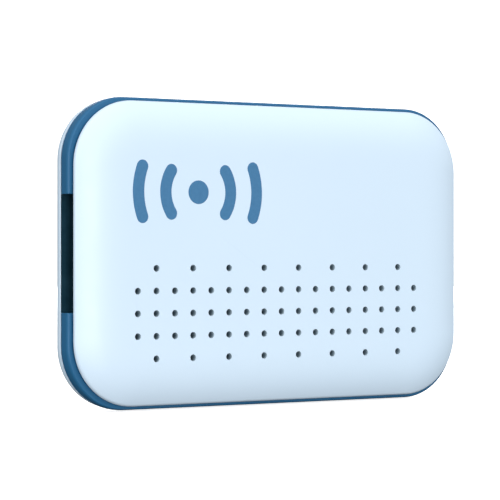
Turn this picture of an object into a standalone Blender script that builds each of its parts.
"""Bluetooth tracker tag: a thin key finder with a press-to-ring front cover and a coin cell.

The tag is drawn lying on its back, and one empty stands it upright on its long side. In the
drawing, x runs along the length, y across the width, and height runs from the back cover to the
front cover, with zero half way through the thickness. Sizes are in millimetres.
"""

import math

import bmesh
import bpy
from mathutils import Matrix, Vector

MM = 0.001

# Outer form
LENGTH = 38.1
WIDTH = 24.85
THICKNESS = 6.0
FRAME_CORNER = 5.10
COVER_CORNER = 5.55
SMALLEST_RADIUS = 0.5
CORNER_STEPS = 6
FRONT = THICKNESS / 2
BACK = -THICKNESS / 2
FIT_GAP = 0.05
BURIED = 0.20
CLEAR = 1.0

# Front cover: a crown that rolls off towards a rim, over a skirt that slides in the frame
COVER_INSET = 0.32
CROWN_DEPTH = 0.90
CROWN_WIDTH = 5.0
CROWN_POWER = 3.6
CROWN_REACHES = (0.0, 0.4, 0.62, 0.80, 0.92, 1.0)
RIM_FLANK = 0.30
RIM_HEIGHT = FRONT - CROWN_DEPTH - RIM_FLANK
COVER_WALL = 0.80
ROOF = FRONT - COVER_WALL
SKIRT_INSET = 1.25
SKIRT_INNER = 1.85
SKIRT_FOOT = 1.00
SKIRT_TOP = 1.60
ROOF_FILLET = ((2.10, 1.95), (3.00, 2.12), (4.20, ROOF))

# Sound holes: full rows in the middle, every other hole in the first and last row
HOLE_RADIUS = 0.265
HOLE_PITCH_X = 1.70
HOLE_PITCH_Y = 1.79
HOLE_COLUMNS = 17
HOLE_ROWS = 5
HOLE_CENTRE_Y = -4.755
HOLE_SIDES = 8
MESH_MARGIN = 0.65
MESH_BACK = ROOF - 0.20
MESH_FRONT = ROOF - 0.10

# Frame: a convex band outside, a ledge for the circuit board inside
FRAME_TOP = 1.50
BAND_FOOT = 0.20
BAND = ((0.28, FRAME_TOP), (0.09, 1.40), (0.0, 1.20), (0.0, 0.60), (0.04, 0.38), (0.12, BAND_FOOT))
FRAME_INNER = 1.15
SPIGOT_INSET = 0.75
LEDGE_INSET = 2.70
LEDGE_TOP = 0.35
FRAME_FOOT = -0.30
LUG_WIDTH = 3.0
LUG_INSET = 0.92
LUG_HEIGHT = 0.18
LUG_X = 8.5
LUG_POCKET_WIDTH = 3.4
LUG_POCKET_INSET = 0.80
LUG_POCKET_HEIGHTS = (0.72, 1.25)
STAKES = [(x, y) for x in (-14.7, 14.7) for y in (-8.4, 8.4)]
STAKE_RADIUS = 0.45
STAKE_BOSS_RADIUS = 1.4
STAKE_HEAD_RADIUS = 0.8
STAKE_HEAD_HEIGHT = 0.30

# Strap slot in the left side, and the dark liner behind it, which holds a steel post
SIDE = -LENGTH / 2
HALF_SLOT = 4.65
SLOT_FOOT = 0.0
LINER_MOUTH = SIDE + 0.10
LINER_START = SIDE + 1.55
LINER_END = -14.4
LINER_WALL = 0.60
LINER_REACH = HALF_SLOT + LINER_WALL
LINER_FLOOR = 0.45
LINER_LIP = 0.20
SIDE_WALL_TOP = 1.35
END_WALL_TOP = 1.85
POST_X = -16.4
POST_RADIUS = 0.70
POST_GAP = 0.03
POST_TOP = 1.50

# Back cover: a shallow bowl that clips over the frame's spigot
BOWL_INSET = 0.08
BOWL_TOP = 0.13
BOWL_WIDTH = 6.0
BOWL_WALL = 0.60
BOWL_INNER_WIDTH = 5.2
BOWL_INNER_TOP = -0.20
BOWL_FLOOR = BACK + 0.80
BOWL_STEPS = 6
PRISE_HALF_LENGTH = 3.0
PRISE_BOTTOM = -0.12

# Circuit board
BOARD_INSET = 2.10
BOARD_BACK = 0.40
BOARD_FRONT = 1.00
BOARD_NOTCH = (-14.2, 5.5)
ANTENNA_START = (-12.0, 8.7)
ANTENNA_FOLDS = 9
ANTENNA_PITCH = 0.9
ANTENNA_REACH = 1.1
ANTENNA_HALF_WIDTH = 0.14

# Coin cell, 16 mm across and 3.2 mm thick
CELL_AT = (7.0, 0.0)
CELL_RADIUS = 8.0
CELL_BACK = -1.90
CELL_FRONT = 1.30
CELL_HOLE_RADIUS = 8.4
CAN_WALL = 0.25
CAN_FLOOR = 0.22
CURL_BOTTOM = 0.93
CURL_TOP = 1.08
GASKET_INNER = 6.85
GASKET_NECK = 7.30
GASKET_OUTER = 7.60
CAP_RADIUS = 6.78
CAP_WALL = 0.23
CAP_INSIDE = 1.10
LITHIUM_RADIUS = 6.4
CATHODE_RADIUS = 7.5
TURN_STEPS = 32

# Spring contacts and the foam pad of the cell
CONTACT_THICKNESS = 0.12
NEGATIVE_PATH = ((-3.6, 1.12), (-2.3, 1.12), (-1.7, 1.46), (5.8, 1.46), (6.6, 1.40), (7.4, 1.52))
POSITIVE_PATH = ((-3.6, 0.28), (-1.6, 0.28), (-1.32, 0.10), (-1.13, -0.50), (-1.30, -1.15))
FOAM_RADIUS = 4.5

# Sounder and switch, both on the front of the board
SOUNDER_AT = (-7.6, -3.9)
SOUNDER_RADIUS = 5.9
RING_BORE = 5.3
RING_TOP = 1.42
DISC_BACK = 1.46
DISC_FRONT = 1.58
CERAMIC_RADIUS = 4.4
CERAMIC_THICKNESS = 0.12
SPRING_THICKNESS = 0.06
RIM_SPRING_PATH = ((-0.8, 1.08), (0.0, 1.08), (0.45, 1.38), (0.8, 1.40))
MIDDLE_SPRING_PATH = ((-1.0, 1.08), (0.2, 1.08), (0.7, 1.22), (1.1, 1.24))
SWITCH_AT = (-8.0, 4.9)
SWITCH_SIZE = (4.2, 3.4)
SWITCH_BASE_TOP = 1.55
TRAY_RADIUS = 1.35
TRAY_FLOOR = 1.17
PLATE_BACK = 1.60
PLATE_FRONT = 1.68
DOME_PROFILE = ((0, 1.51), (0.7, 1.49), (1.25, 1.43), (1.25, 1.38), (0.7, 1.44), (0, 1.46))
STEM_RADIUS = 0.70
STEM_BACK = 1.54
STEM_TOP = 2.03
BOSS_RADIUS = 1.1

COLOURS = {
    "cover_blue": ((0.72, 0.85, 0.96), 0.35, 0.0),
    "frame_blue": ((0.045, 0.16, 0.31), 0.35, 0.0),
    "liner_black": ((0.012, 0.022, 0.035), 0.45, 0.0),
    "mesh_black": ((0.02, 0.03, 0.05), 0.9, 0.0),
    "board_green": ((0.02, 0.12, 0.09), 0.5, 0.0),
    "chip_black": ((0.02, 0.02, 0.022), 0.5, 0.0),
    "capacitor_tan": ((0.42, 0.28, 0.16), 0.5, 0.0),
    "ceramic_white": ((0.85, 0.84, 0.80), 0.4, 0.0),
    "plastic_white": ((0.80, 0.80, 0.78), 0.5, 0.0),
    "foam_grey": ((0.12, 0.12, 0.13), 0.95, 0.0),
    "copper": ((0.80, 0.42, 0.20), 0.35, 1.0),
    "brass": ((0.78, 0.60, 0.25), 0.3, 1.0),
    "steel": ((0.62, 0.62, 0.63), 0.3, 1.0),
    "lithium": ((0.70, 0.70, 0.72), 0.6, 1.0),
    "cathode_black": ((0.03, 0.03, 0.03), 0.9, 0.0),
}


# ---------------------------------------------------------------- scene and object helpers

def clear_scene():
    for thing in list(bpy.data.objects):
        bpy.data.objects.remove(thing, do_unlink=True)


def new_collection(name):
    collection = bpy.data.collections.new(name)
    bpy.context.scene.collection.children.link(collection)
    return collection


def make_material(name):
    colour, roughness, metallic = COLOURS[name]
    material = bpy.data.materials.new(name)
    material.use_nodes = True
    shader = material.node_tree.nodes["Principled BSDF"]
    shader.inputs["Base Color"].default_value = (*colour, 1.0)
    shader.inputs["Roughness"].default_value = roughness
    shader.inputs["Metallic"].default_value = metallic
    material.diffuse_color = (*colour, 1.0)
    return material


def upright_empty():
    """The tag's own axes: it stands on its long side, with the front cover facing -Y."""
    empty = bpy.data.objects.new("tag", None)
    bpy.context.scene.collection.objects.link(empty)
    empty.location = (0, 0, WIDTH / 2 * MM)
    empty.rotation_euler = (math.radians(90), 0, 0)
    return empty


def place(name, data, at, collection):
    thing = bpy.data.objects.new(name, data)
    collection.objects.link(thing)
    thing.parent = TAG
    thing.location = Vector((*at, 0)) * MM
    return thing


def add_part(name, data, colour, at=(0, 0)):
    data.materials.append(MATERIALS[colour])
    if isinstance(data, bpy.types.Mesh):
        data.shade_smooth()
        data.set_sharp_from_angle(angle=math.radians(30))
    return place(name, data, at, PARTS)


def add_cutter(name, data, at=(0, 0)):
    cutter = place(name, data, at, CUTTERS)
    cutter.hide_render = True
    cutter.display_type = "WIRE"
    return cutter


def apply_shape(part, operation, cutter):
    modifier = part.modifiers.new(cutter.name, "BOOLEAN")
    modifier.operation = operation
    modifier.solver = "EXACT"
    modifier.object = cutter


def finish_mesh(bm, name):
    """Turn a bmesh in millimetres into a mesh in metres."""
    bmesh.ops.scale(bm, vec=(MM, MM, MM), verts=bm.verts)
    mesh = bpy.data.meshes.new(name)
    bm.to_mesh(mesh)
    bm.free()
    return mesh


# ---------------------------------------------------------------- shapes

def arc(centre, radius, start, end, steps):
    """Points on an arc, with start and end in degrees."""
    points = []
    for step in range(steps + 1):
        angle = math.radians(start + (end - start) * step / steps)
        points.append((centre[0] + radius * math.cos(angle), centre[1] + radius * math.sin(angle)))
    return points


def circle(radius, steps=TURN_STEPS, centre=(0, 0)):
    return arc(centre, radius, 0, 360, steps)[:-1]


def outline_corners(inset, corner_radius):
    """The four rounded corners of the body outline, moved inwards, anticlockwise from +x +y."""
    radius = max(corner_radius - inset, SMALLEST_RADIUS)
    reach_x = LENGTH / 2 - inset - radius
    reach_y = WIDTH / 2 - inset - radius
    corners = []
    for quarter, (side_x, side_y) in enumerate(((1, 1), (-1, 1), (-1, -1), (1, -1))):
        centre = (side_x * reach_x, side_y * reach_y)
        corners.append(arc(centre, radius, 90 * quarter, 90 * quarter + 90, CORNER_STEPS))
    return corners


def loft(name, sections, corner_radius, closed_ring=False):
    """Skin the body outline through sections, each an inset and a height."""
    bm = bmesh.new()
    rings = []
    for inset, height in sections:
        points = sum(outline_corners(inset, corner_radius), [])
        rings.append([bm.verts.new((x, y, height)) for x, y in points])
    joins = list(zip(rings, rings[1:]))
    if closed_ring:
        joins.append((rings[-1], rings[0]))
    else:
        bm.faces.new(rings[0])
        bm.faces.new(rings[-1])
    for upper, lower in joins:
        for i in range(len(upper)):
            bm.faces.new((upper[i - 1], lower[i - 1], lower[i], upper[i]))
    bmesh.ops.recalc_face_normals(bm, faces=bm.faces)
    return finish_mesh(bm, name)


def add_box(bm, low, high):
    """Add a box between two corners to a bmesh."""
    low = Vector(low)
    high = Vector(high)
    shape = Matrix.Translation((low + high) / 2) @ Matrix.Diagonal((*(high - low), 1))
    bmesh.ops.create_cube(bm, size=1, matrix=shape)


def add_cylinder(bm, at, radius, bottom, top, sides):
    centre = Matrix.Translation((at[0], at[1], (bottom + top) / 2))
    bmesh.ops.create_cone(bm, cap_ends=True, segments=sides, radius1=radius, radius2=radius,
                          depth=top - bottom, matrix=centre)


def boxes(name, corners):
    bm = bmesh.new()
    for low, high in corners:
        add_box(bm, low, high)
    return finish_mesh(bm, name)


def cylinders(name, places, radius, bottom, top, sides=16):
    bm = bmesh.new()
    for at in places:
        add_cylinder(bm, at, radius, bottom, top, sides)
    return finish_mesh(bm, name)


def turned(name, profile, colour, at, closed_profile=False):
    """Turn a profile of radius and height, which runs down its outer side, about the height axis."""
    bm = bmesh.new()
    points = [bm.verts.new((radius, 0, height)) for radius, height in profile]
    for first, second in zip(points, points[1:]):
        bm.edges.new((first, second))
    if closed_profile:
        bm.edges.new((points[-1], points[0]))
    part = add_part(name, finish_mesh(bm, name), colour, at)
    screw = part.modifiers.new("turn", "SCREW")
    screw.steps = TURN_STEPS
    screw.render_steps = TURN_STEPS
    screw.use_merge_vertices = True
    screw.merge_threshold = 0.000001
    return part


def flat_plate(name, outlines, bottom, top, colour, at=(0, 0)):
    """A flat piece from an outer outline and the outlines of its holes."""
    curve = bpy.data.curves.new(name, "CURVE")
    curve.dimensions = "2D"
    curve.fill_mode = "BOTH"
    curve.extrude = (top - bottom) / 2 * MM
    for outline in outlines:
        spline = curve.splines.new("POLY")
        spline.points.add(len(outline) - 1)
        for point, (x, y) in zip(spline.points, outline):
            point.co = (x * MM, y * MM, 0, 1)
        spline.use_cyclic_u = True
    part = add_part(name, curve, colour, at)
    part.location.z = (top + bottom) / 2 * MM
    return part


def bent_strip(name, path, width, thickness, colour, at, turn=0):
    """A strip of sheet metal, bent along a side-view path of x and height."""
    bm = bmesh.new()
    points = [bm.verts.new((x, -width / 2, height)) for x, height in path]
    edges = [bm.edges.new(pair) for pair in zip(points, points[1:])]
    swept = bmesh.ops.extrude_edge_only(bm, edges=edges)["geom"]
    moved = [item for item in swept if isinstance(item, bmesh.types.BMVert)]
    bmesh.ops.translate(bm, vec=(0, width, 0), verts=moved)
    part = add_part(name, finish_mesh(bm, name), colour, at)
    part.rotation_euler.z = math.radians(turn)
    sheet = part.modifiers.new("sheet", "SOLIDIFY")
    sheet.thickness = thickness * MM
    sheet.offset = 0
    return part


def rectangle(size, centre=(0, 0)):
    half_x, half_y = size[0] / 2, size[1] / 2
    corners = ((half_x, half_y), (-half_x, half_y), (-half_x, -half_y), (half_x, -half_y))
    return [(centre[0] + x, centre[1] + y) for x, y in corners]


# ---------------------------------------------------------------- covers and frame

def crown_section(reach):
    """Inset and height on the crown, with reach 0 where it starts and 1 at the rim."""
    inset = COVER_INSET + CROWN_WIDTH * (1 - reach)
    return inset, FRONT - CROWN_DEPTH * reach ** CROWN_POWER


def sound_hole_places():
    places = []
    middle_column = (HOLE_COLUMNS - 1) // 2
    middle_row = (HOLE_ROWS - 1) // 2
    for row in range(-middle_row, middle_row + 1):
        for column in range(-middle_column, middle_column + 1):
            outer_row = abs(row) == middle_row
            if outer_row and column % 2 == 0:
                continue
            places.append((column * HOLE_PITCH_X, HOLE_CENTRE_Y + row * HOLE_PITCH_Y))
    return places


def lug_boxes(width, inner, outer, bottom, top):
    """Boxes on the two long sides and the right side, between two insets."""
    found = []
    for side_y in (-1, 1):
        for centre_x in (-LUG_X, LUG_X):
            edges = sorted((side_y * (WIDTH / 2 - inner), side_y * (WIDTH / 2 - outer)))
            found.append(((centre_x - width / 2, edges[0], bottom), (centre_x + width / 2, edges[1], top)))
    found.append(((LENGTH / 2 - inner, -width / 2, bottom), (LENGTH / 2 - outer, width / 2, top)))
    return found


def front_cover():
    """Crowned cover: it floats on the switch, and its lugs keep it in the frame."""
    crown = [crown_section(reach) for reach in CROWN_REACHES]
    rim = [(COVER_INSET, RIM_HEIGHT), (SKIRT_INSET, RIM_HEIGHT)]
    skirt = [(SKIRT_INSET, SKIRT_FOOT), (SKIRT_INNER, SKIRT_FOOT), (SKIRT_INNER, SKIRT_TOP)]
    shell = loft("front_cover", crown + rim + skirt + list(ROOF_FILLET), COVER_CORNER)
    cover = add_part("front_cover", shell, "cover_blue")

    lugs = lug_boxes(LUG_WIDTH, SKIRT_INNER - BURIED, LUG_INSET, SKIRT_FOOT, SKIRT_FOOT + LUG_HEIGHT)
    apply_shape(cover, "UNION", add_cutter("cover_lugs", boxes("cover_lugs", lugs)))
    boss = cylinders("cover_boss", [SWITCH_AT], BOSS_RADIUS, STEM_TOP + FIT_GAP, ROOF + BURIED)
    apply_shape(cover, "UNION", add_cutter("cover_boss", boss))
    places = sound_hole_places()
    holes = cylinders("sound_holes", places, HOLE_RADIUS, ROOF - CLEAR, FRONT + CLEAR, HOLE_SIDES)
    apply_shape(cover, "DIFFERENCE", add_cutter("sound_holes", holes))
    half_gap = LINER_REACH + 4 * FIT_GAP
    low = (SIDE + SKIRT_INSET - BURIED, -half_gap, SKIRT_FOOT - CLEAR)
    high = (SIDE + SKIRT_INNER + BURIED, half_gap, RIM_HEIGHT - FIT_GAP)
    apply_shape(cover, "DIFFERENCE", add_cutter("skirt_gap", boxes("skirt_gap", [(low, high)])))


def dust_mesh():
    length = (HOLE_COLUMNS - 1) * HOLE_PITCH_X + 2 * MESH_MARGIN
    width = (HOLE_ROWS - 1) * HOLE_PITCH_Y + 2 * MESH_MARGIN
    sheet = [rectangle((length, width))]
    flat_plate("dust_mesh", sheet, MESH_BACK, MESH_FRONT, "mesh_black", (0, HOLE_CENTRE_Y))


def mid_frame():
    """Convex band with the board ledge, the strap slot and four stakes that hold the board."""
    foot = [(SPIGOT_INSET, BAND_FOOT), (SPIGOT_INSET, FRAME_FOOT), (LEDGE_INSET, FRAME_FOOT)]
    inner = [(LEDGE_INSET, LEDGE_TOP), (FRAME_INNER, LEDGE_TOP), (FRAME_INNER, FRAME_TOP)]
    ring = loft("mid_frame", list(BAND) + foot + inner, FRAME_CORNER, closed_ring=True)
    frame = add_part("mid_frame", ring, "frame_blue")

    low = (SIDE - CLEAR, -HALF_SLOT, SLOT_FOOT)
    slot = boxes("strap_slot", [(low, (LINER_START, HALF_SLOT, FRAME_TOP + CLEAR))])
    apply_shape(frame, "DIFFERENCE", add_cutter("strap_slot", slot))
    half_seat = LINER_REACH + FIT_GAP
    low = (LINER_START - FIT_GAP, -half_seat, FRAME_FOOT - CLEAR)
    seat = boxes("liner_seat", [(low, (LINER_END, half_seat, FRAME_TOP + CLEAR))])
    apply_shape(frame, "DIFFERENCE", add_cutter("liner_seat", seat))

    bosses = cylinders("stake_bosses", STAKES, STAKE_BOSS_RADIUS, FRAME_FOOT, LEDGE_TOP)
    apply_shape(frame, "UNION", add_cutter("stake_bosses", bosses))
    shanks = cylinders("stake_shanks", STAKES, STAKE_RADIUS, LEDGE_TOP - BURIED, BOARD_FRONT + BURIED, 12)
    apply_shape(frame, "UNION", add_cutter("stake_shanks", shanks))
    head_foot = BOARD_FRONT + FIT_GAP
    head_top = head_foot + STAKE_HEAD_HEIGHT
    heads = cylinders("stake_heads", STAKES, STAKE_HEAD_RADIUS, head_foot, head_top, 12)
    apply_shape(frame, "UNION", add_cutter("stake_heads", heads))

    pockets = lug_boxes(LUG_POCKET_WIDTH, FRAME_INNER + BURIED, LUG_POCKET_INSET, *LUG_POCKET_HEIGHTS)
    apply_shape(frame, "DIFFERENCE", add_cutter("lug_pockets", boxes("lug_pockets", pockets)))


def strap_liner():
    """Dark tray behind the slot: a floor with a lip, a wall at each side, an end wall and a bore."""
    buried = LINER_FLOOR - FIT_GAP
    lip_end = LINER_START + 2 * FIT_GAP
    lip = ((LINER_MOUTH, FIT_GAP - HALF_SLOT, LINER_LIP), (lip_end, HALF_SLOT - FIT_GAP, LINER_FLOOR))
    liner = add_part("strap_liner", boxes("strap_liner", [lip]), "liner_black")
    end_start = LINER_END - LINER_WALL
    end_reach = LINER_REACH - 2 * FIT_GAP
    walls = {
        "liner_floor": ((LINER_START, -LINER_REACH, FRAME_FOOT), (LINER_END, LINER_REACH, LINER_FLOOR)),
        "liner_side_1": ((LINER_START, -LINER_REACH, buried), (LINER_END, -HALF_SLOT, SIDE_WALL_TOP)),
        "liner_side_2": ((LINER_START, HALF_SLOT, buried), (LINER_END, LINER_REACH, SIDE_WALL_TOP)),
        "liner_end": ((end_start, -end_reach, buried), (LINER_END - FIT_GAP, end_reach, END_WALL_TOP)),
    }
    for name, corners in walls.items():
        apply_shape(liner, "UNION", add_cutter(name, boxes(name, [corners])))
    bottom, top = FRAME_FOOT - CLEAR, LINER_FLOOR + CLEAR
    bore = cylinders("post_bore", [(POST_X, 0)], POST_RADIUS + POST_GAP, bottom, top)
    apply_shape(liner, "DIFFERENCE", add_cutter("post_bore", bore))


def strap_post():
    post = cylinders("strap_post", [(0, 0)], POST_RADIUS, FRAME_FOOT + FIT_GAP, POST_TOP, 20)
    add_part("strap_post", post, "steel", (POST_X, 0))


def bowl_curve(inset, width, top, depth):
    """A quarter ellipse from an upright wall to a flat floor."""
    sections = []
    for step in range(BOWL_STEPS + 1):
        angle = math.radians(90 * step / BOWL_STEPS)
        sections.append((inset + width * (1 - math.cos(angle)), top - depth * math.sin(angle)))
    return sections


def back_cover():
    """Bowl with a flat floor, which the tag rests on, and a slot to prise it off."""
    outside = [(BOWL_INSET, BOWL_TOP)] + bowl_curve(BOWL_INSET, BOWL_WIDTH, 0, -BACK)
    inner_inset = BOWL_INSET + BOWL_WALL
    inner_depth = BOWL_INNER_TOP - BOWL_FLOOR
    inside = [(inner_inset, BOWL_TOP)]
    inside += bowl_curve(inner_inset, BOWL_INNER_WIDTH, BOWL_INNER_TOP, inner_depth)
    shell = loft("back_cover", outside[::-1] + inside, FRAME_CORNER)
    cover = add_part("back_cover", shell, "cover_blue")
    low = (LENGTH / 2 - BOWL_WALL, -PRISE_HALF_LENGTH, PRISE_BOTTOM)
    prise_slot = boxes("prise_slot", [(low, (LENGTH / 2 + CLEAR, PRISE_HALF_LENGTH, BOWL_TOP + CLEAR))])
    apply_shape(cover, "DIFFERENCE", add_cutter("prise_slot", prise_slot))


# ---------------------------------------------------------------- coin cell and its contacts

def coin_cell():
    """Steel can and cap, insulated by a gasket, round a cathode, a separator and a lithium disc."""
    floor_top = CELL_BACK + CAN_FLOOR
    can_inner = CELL_RADIUS - CAN_WALL
    turned("battery_can", [
        (0, floor_top), (GASKET_OUTER, floor_top), (can_inner, floor_top + 0.13), (can_inner, 0.80),
        (can_inner - 0.10, CURL_BOTTOM), (GASKET_NECK + FIT_GAP, CURL_BOTTOM),
        (GASKET_NECK + FIT_GAP, CURL_TOP), (can_inner, CURL_TOP), (CELL_RADIUS, CURL_TOP - 0.23),
        (CELL_RADIUS, CELL_BACK + 0.25), (can_inner, CELL_BACK), (0, CELL_BACK),
    ], "steel", CELL_AT)
    turned("battery_gasket", [
        (GASKET_INNER, CURL_TOP + 0.04), (GASKET_NECK, CURL_TOP + 0.04),
        (GASKET_NECK, CURL_BOTTOM - FIT_GAP), (GASKET_OUTER, CURL_BOTTOM - FIT_GAP),
        (GASKET_OUTER, 0.40), (GASKET_INNER, 0.40),
    ], "plastic_white", CELL_AT, closed_profile=True)
    cap_inner = CAP_RADIUS - CAP_WALL
    turned("battery_cap", [
        (0, CELL_FRONT), (cap_inner - FIT_GAP, CELL_FRONT), (CAP_RADIUS, CELL_FRONT - 0.18),
        (CAP_RADIUS, 0.35), (cap_inner, 0.35), (cap_inner, CAP_INSIDE - 0.10),
        (cap_inner - 0.15, CAP_INSIDE), (0, CAP_INSIDE),
    ], "steel", CELL_AT)
    discs = {
        "battery_lithium": (LITHIUM_RADIUS, 0.05, CAP_INSIDE - 0.06, "lithium"),
        "battery_separator": (CATHODE_RADIUS, -0.10, 0, "plastic_white"),
        "battery_cathode": (CATHODE_RADIUS, floor_top + 0.06, -0.15, "cathode_black"),
    }
    for name, (radius, bottom, top, colour) in discs.items():
        disc = cylinders(name, [(0, 0)], radius, bottom, top, TURN_STEPS)
        add_part(name, disc, colour, CELL_AT)


def battery_contacts():
    bent_strip("contact_negative", NEGATIVE_PATH, 2.0, CONTACT_THICKNESS, "brass", (0, 4.0))
    bent_strip("contact_positive", POSITIVE_PATH, 3.0, CONTACT_THICKNESS, "brass", (0, 0))


def battery_foam():
    foam = cylinders("battery_foam", [(0, 0)], FOAM_RADIUS, BOWL_FLOOR + FIT_GAP, CELL_BACK - FIT_GAP, 24)
    add_part("battery_foam", foam, "foam_grey", CELL_AT)


# ---------------------------------------------------------------- circuit board and what is on it

def circuit_board():
    """Board with a hole for the cell, a notch for the strap liner and four stake holes."""
    first, second, third, fourth = outline_corners(BOARD_INSET, COVER_CORNER)
    edge_x = BOARD_INSET - LENGTH / 2
    notch_x, notch_y = BOARD_NOTCH
    notch = [(edge_x, notch_y), (notch_x, notch_y), (notch_x, -notch_y), (edge_x, -notch_y)]
    outlines = [first + second + notch + third + fourth]
    outlines.append(circle(CELL_HOLE_RADIUS, centre=CELL_AT))
    outlines += [circle(STAKE_RADIUS + 2 * FIT_GAP, 12, stake) for stake in STAKES]
    flat_plate("pcb", outlines, BOARD_BACK, BOARD_FRONT, "board_green")


def track_outline(path, half_width):
    """Outline of a thin track along a path whose stretches meet at right angles."""
    normals = []
    for start, end in zip(path, path[1:]):
        along = (Vector(end) - Vector(start)).normalized()
        normals.append(Vector((-along.y, along.x)))
    left = []
    right = []
    for index, point in enumerate(path):
        side = sum(normals[max(index - 1, 0):index + 1], Vector((0, 0))) * half_width
        left.append(tuple(Vector(point) + side))
        right.append(tuple(Vector(point) - side))
    return left + right[::-1]


def antenna():
    """Meander track on the front of the board, which folds to and fro."""
    path = []
    for fold in range(ANTENNA_FOLDS):
        side = 1 if fold % 2 == 0 else -1
        along = fold * ANTENNA_PITCH
        path += [(along, -side * ANTENNA_REACH), (along, side * ANTENNA_REACH)]
    track = [track_outline(path, ANTENNA_HALF_WIDTH)]
    flat_plate("antenna_trace", track, BOARD_FRONT + 0.01, BOARD_FRONT + 0.05, "copper", ANTENNA_START)


def component(name, size, colour, at):
    """A component of length, width and height, soldered on the back of the board."""
    length, width, height = size
    top = BOARD_BACK - FIT_GAP
    body = boxes(name, [((-length / 2, -width / 2, top - height), (length / 2, width / 2, top))])
    add_part(name, body, colour, at)


def board_components():
    component("radio_chip", (5.0, 5.0, 0.80), "chip_black", (-8.0, -0.5))
    component("crystal_main", (2.5, 2.0, 0.55), "steel", (-12.3, 0.4))
    component("crystal_clock", (3.2, 1.5, 0.80), "steel", (-8.0, 5.2))
    component("boost_inductor", (2.6, 2.2, 1.20), "chip_black", (-3.6, -7.4))
    component("buzzer_driver", (2.2, 1.4, 0.90), "chip_black", (-8.0, -7.2))
    capacitor_places = ((-4.2, 3.0), (-4.2, -2.6), (-11.6, 3.4), (-11.6, -2.6),
                        (-10.6, 6.9), (-0.4, -8.3), (-6.0, -5.4), (-10.6, -6.0))
    for number, at in enumerate(capacitor_places, start=1):
        component(f"capacitor_{number}", (1.0, 0.5, 0.5), "capacitor_tan", at)
    resistor_places = ((-4.2, 4.4), (-4.6, 6.4), (-11.6, -4.2), (-10.6, -7.6))
    for number, at in enumerate(resistor_places, start=1):
        component(f"resistor_{number}", (1.0, 0.5, 0.35), "chip_black", at)


def switch():
    """Low tact switch: a tray with a metal dome, a cover plate and a stem that passes it."""
    half_x, half_y = SWITCH_SIZE[0] / 2, SWITCH_SIZE[1] / 2
    block = ((-half_x, -half_y, BOARD_FRONT + FIT_GAP), (half_x, half_y, SWITCH_BASE_TOP))
    base = add_part("switch_base", boxes("switch_base", [block]), "plastic_white", SWITCH_AT)
    tray = cylinders("switch_tray", [(0, 0)], TRAY_RADIUS, TRAY_FLOOR, SWITCH_BASE_TOP + CLEAR, 24)
    apply_shape(base, "DIFFERENCE", add_cutter("switch_tray", tray, SWITCH_AT))
    plate = [rectangle(SWITCH_SIZE), circle(STEM_RADIUS + 2 * FIT_GAP, 20)]
    flat_plate("switch_cover", plate, PLATE_BACK, PLATE_FRONT, "steel", SWITCH_AT)
    turned("switch_dome", DOME_PROFILE, "steel", SWITCH_AT)
    stem = cylinders("switch_stem", [(0, 0)], STEM_RADIUS, STEM_BACK, STEM_TOP, 20)
    add_part("switch_stem", stem, "chip_black", SWITCH_AT)


def sounder():
    """Brass disc with a piezo ceramic behind it, on a ring, with two springs from the board."""
    ring = [circle(SOUNDER_RADIUS + 2 * FIT_GAP), circle(RING_BORE)]
    flat_plate("sounder_ring", ring, BOARD_FRONT + FIT_GAP, RING_TOP, "plastic_white", SOUNDER_AT)
    disc = cylinders("sounder_disc", [(0, 0)], SOUNDER_RADIUS, DISC_BACK, DISC_FRONT, TURN_STEPS)
    add_part("sounder_disc", disc, "brass", SOUNDER_AT)
    ceramic_back = RING_TOP - CERAMIC_THICKNESS
    ceramic = cylinders("sounder_ceramic", [(0, 0)], CERAMIC_RADIUS, ceramic_back, RING_TOP, TURN_STEPS)
    add_part("sounder_ceramic", ceramic, "ceramic_white", SOUNDER_AT)
    rim_place = (SOUNDER_AT[0] + (RING_BORE + CERAMIC_RADIUS) / 2, SOUNDER_AT[1])
    bent_strip("sounder_spring_1", RIM_SPRING_PATH, 0.5, SPRING_THICKNESS, "brass", rim_place, turn=90)
    bent_strip("sounder_spring_2", MIDDLE_SPRING_PATH, 0.8, SPRING_THICKNESS, "brass", SOUNDER_AT)


clear_scene()
PARTS = new_collection("bluetooth_tracker_tag")
CUTTERS = new_collection("cutters")
MATERIALS = {name: make_material(name) for name in COLOURS}
TAG = upright_empty()

front_cover()
dust_mesh()
mid_frame()
strap_liner()
strap_post()
back_cover()
coin_cell()
battery_contacts()
battery_foam()
circuit_board()
antenna()
board_components()
switch()
sounder()
